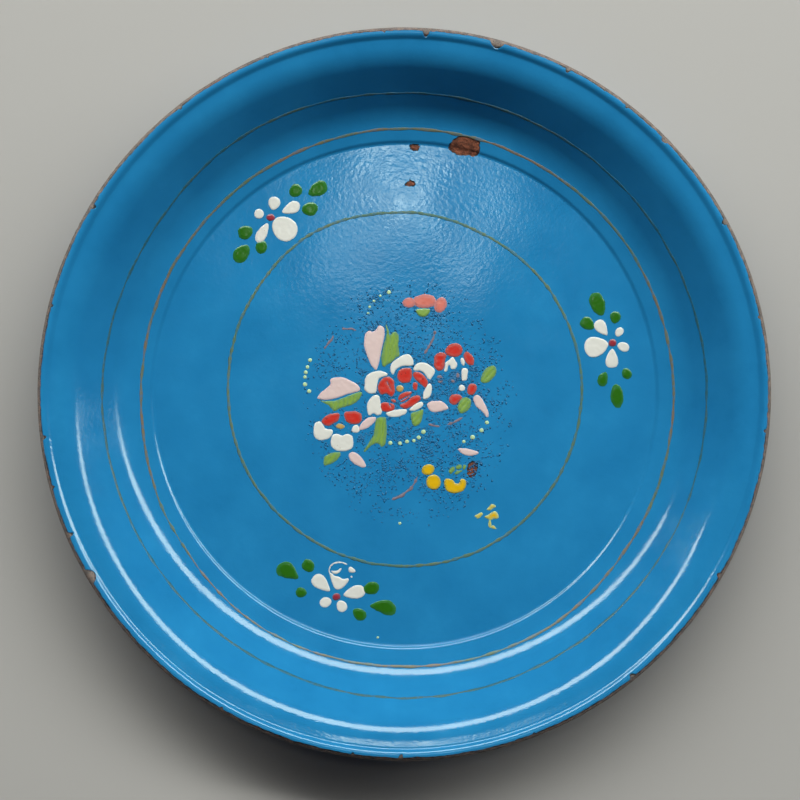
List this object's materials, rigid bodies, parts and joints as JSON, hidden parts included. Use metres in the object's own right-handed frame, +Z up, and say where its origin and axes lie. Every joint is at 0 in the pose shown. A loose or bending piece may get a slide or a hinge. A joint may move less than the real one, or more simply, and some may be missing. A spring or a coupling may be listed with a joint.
{
  "type": "serving tray",
  "caption": "Round shallow serving tray of pressed steel with a stepped floor, sloping wall and curled rim, coated in blue vitreous enamel with painted lines and flowers.",
  "frame": {"origin": "centre of the flat underside that the tray rests on", "axes": "+Z up through the middle of the tray, +Y towards the edge that the picture shows at the top"},
  "size_m": [0.4, 0.4, 0.0363],
  "materials": {
    "steel": "bare sheet steel, rusted where wear and chips expose it",
    "ground_enamel": "fired dark first coat",
    "blue_enamel": "fired glossy blue vitreous enamel with orange peel",
    "back_enamel": "fired blue vitreous enamel on the underside",
    "line_enamel": "thin fired olive-brown line",
    "white_enamel": "raised fired white enamel",
    "heart_enamel": "raised fired dark red enamel",
    "leaf_enamel": "raised fired green enamel",
    "red_enamel": "raised fired red enamel",
    "orange_enamel": "raised fired ochre enamel",
    "pink_enamel": "raised fired pink enamel",
    "light_green_enamel": "raised fired yellow-green enamel",
    "coral_enamel": "raised fired coral enamel",
    "yellow_enamel": "raised fired yellow enamel",
    "cream_enamel": "raised fired cream enamel dots",
    "tendril_enamel": "thin worn mauve enamel strokes"
  },
  "bodies": {
    "root": {"steel_pressing": "steel", "ground_coat_face": "ground_enamel", "ground_coat_back": "ground_enamel", "blue_cover_coat": "blue_enamel", "back_cover_coat": "back_enamel", "line_band_inner": "line_enamel", "line_band_middle": "line_enamel", "line_band_outer": "line_enamel", "rose_white_petals": "white_enamel", "rose_red_petals": "red_enamel", "rose_heart": "orange_enamel", "side_rose_white_petals": "white_enamel", "side_rose_red_petals": "red_enamel", "small_rose_white_petals": "white_enamel", "small_rose_red_petals": "red_enamel", "small_rose_heart": "orange_enamel", "upper_bud": "pink_enamel", "left_bud": "pink_enamel", "bud_sepals": "light_green_enamel", "loose_pink_petals": "pink_enamel", "small_green_leaves": "light_green_enamel", "forked_leaf": "light_green_enamel", "coral_flower": "coral_enamel", "coral_calyx": "light_green_enamel", "yellow_flowers": "yellow_enamel", "small_yellow_flower": "yellow_enamel", "cream_dots": "cream_enamel", "pink_tendrils": "tendril_enamel", "left_spray_petals": "white_enamel", "left_spray_heart": "heart_enamel", "left_spray_leaves": "leaf_enamel", "right_spray_petals": "white_enamel", "right_spray_heart": "heart_enamel", "right_spray_leaves": "leaf_enamel", "bottom_spray_petals": "white_enamel", "bottom_spray_heart": "heart_enamel", "bottom_spray_leaves": "leaf_enamel"}
  },
  "joints": []
}
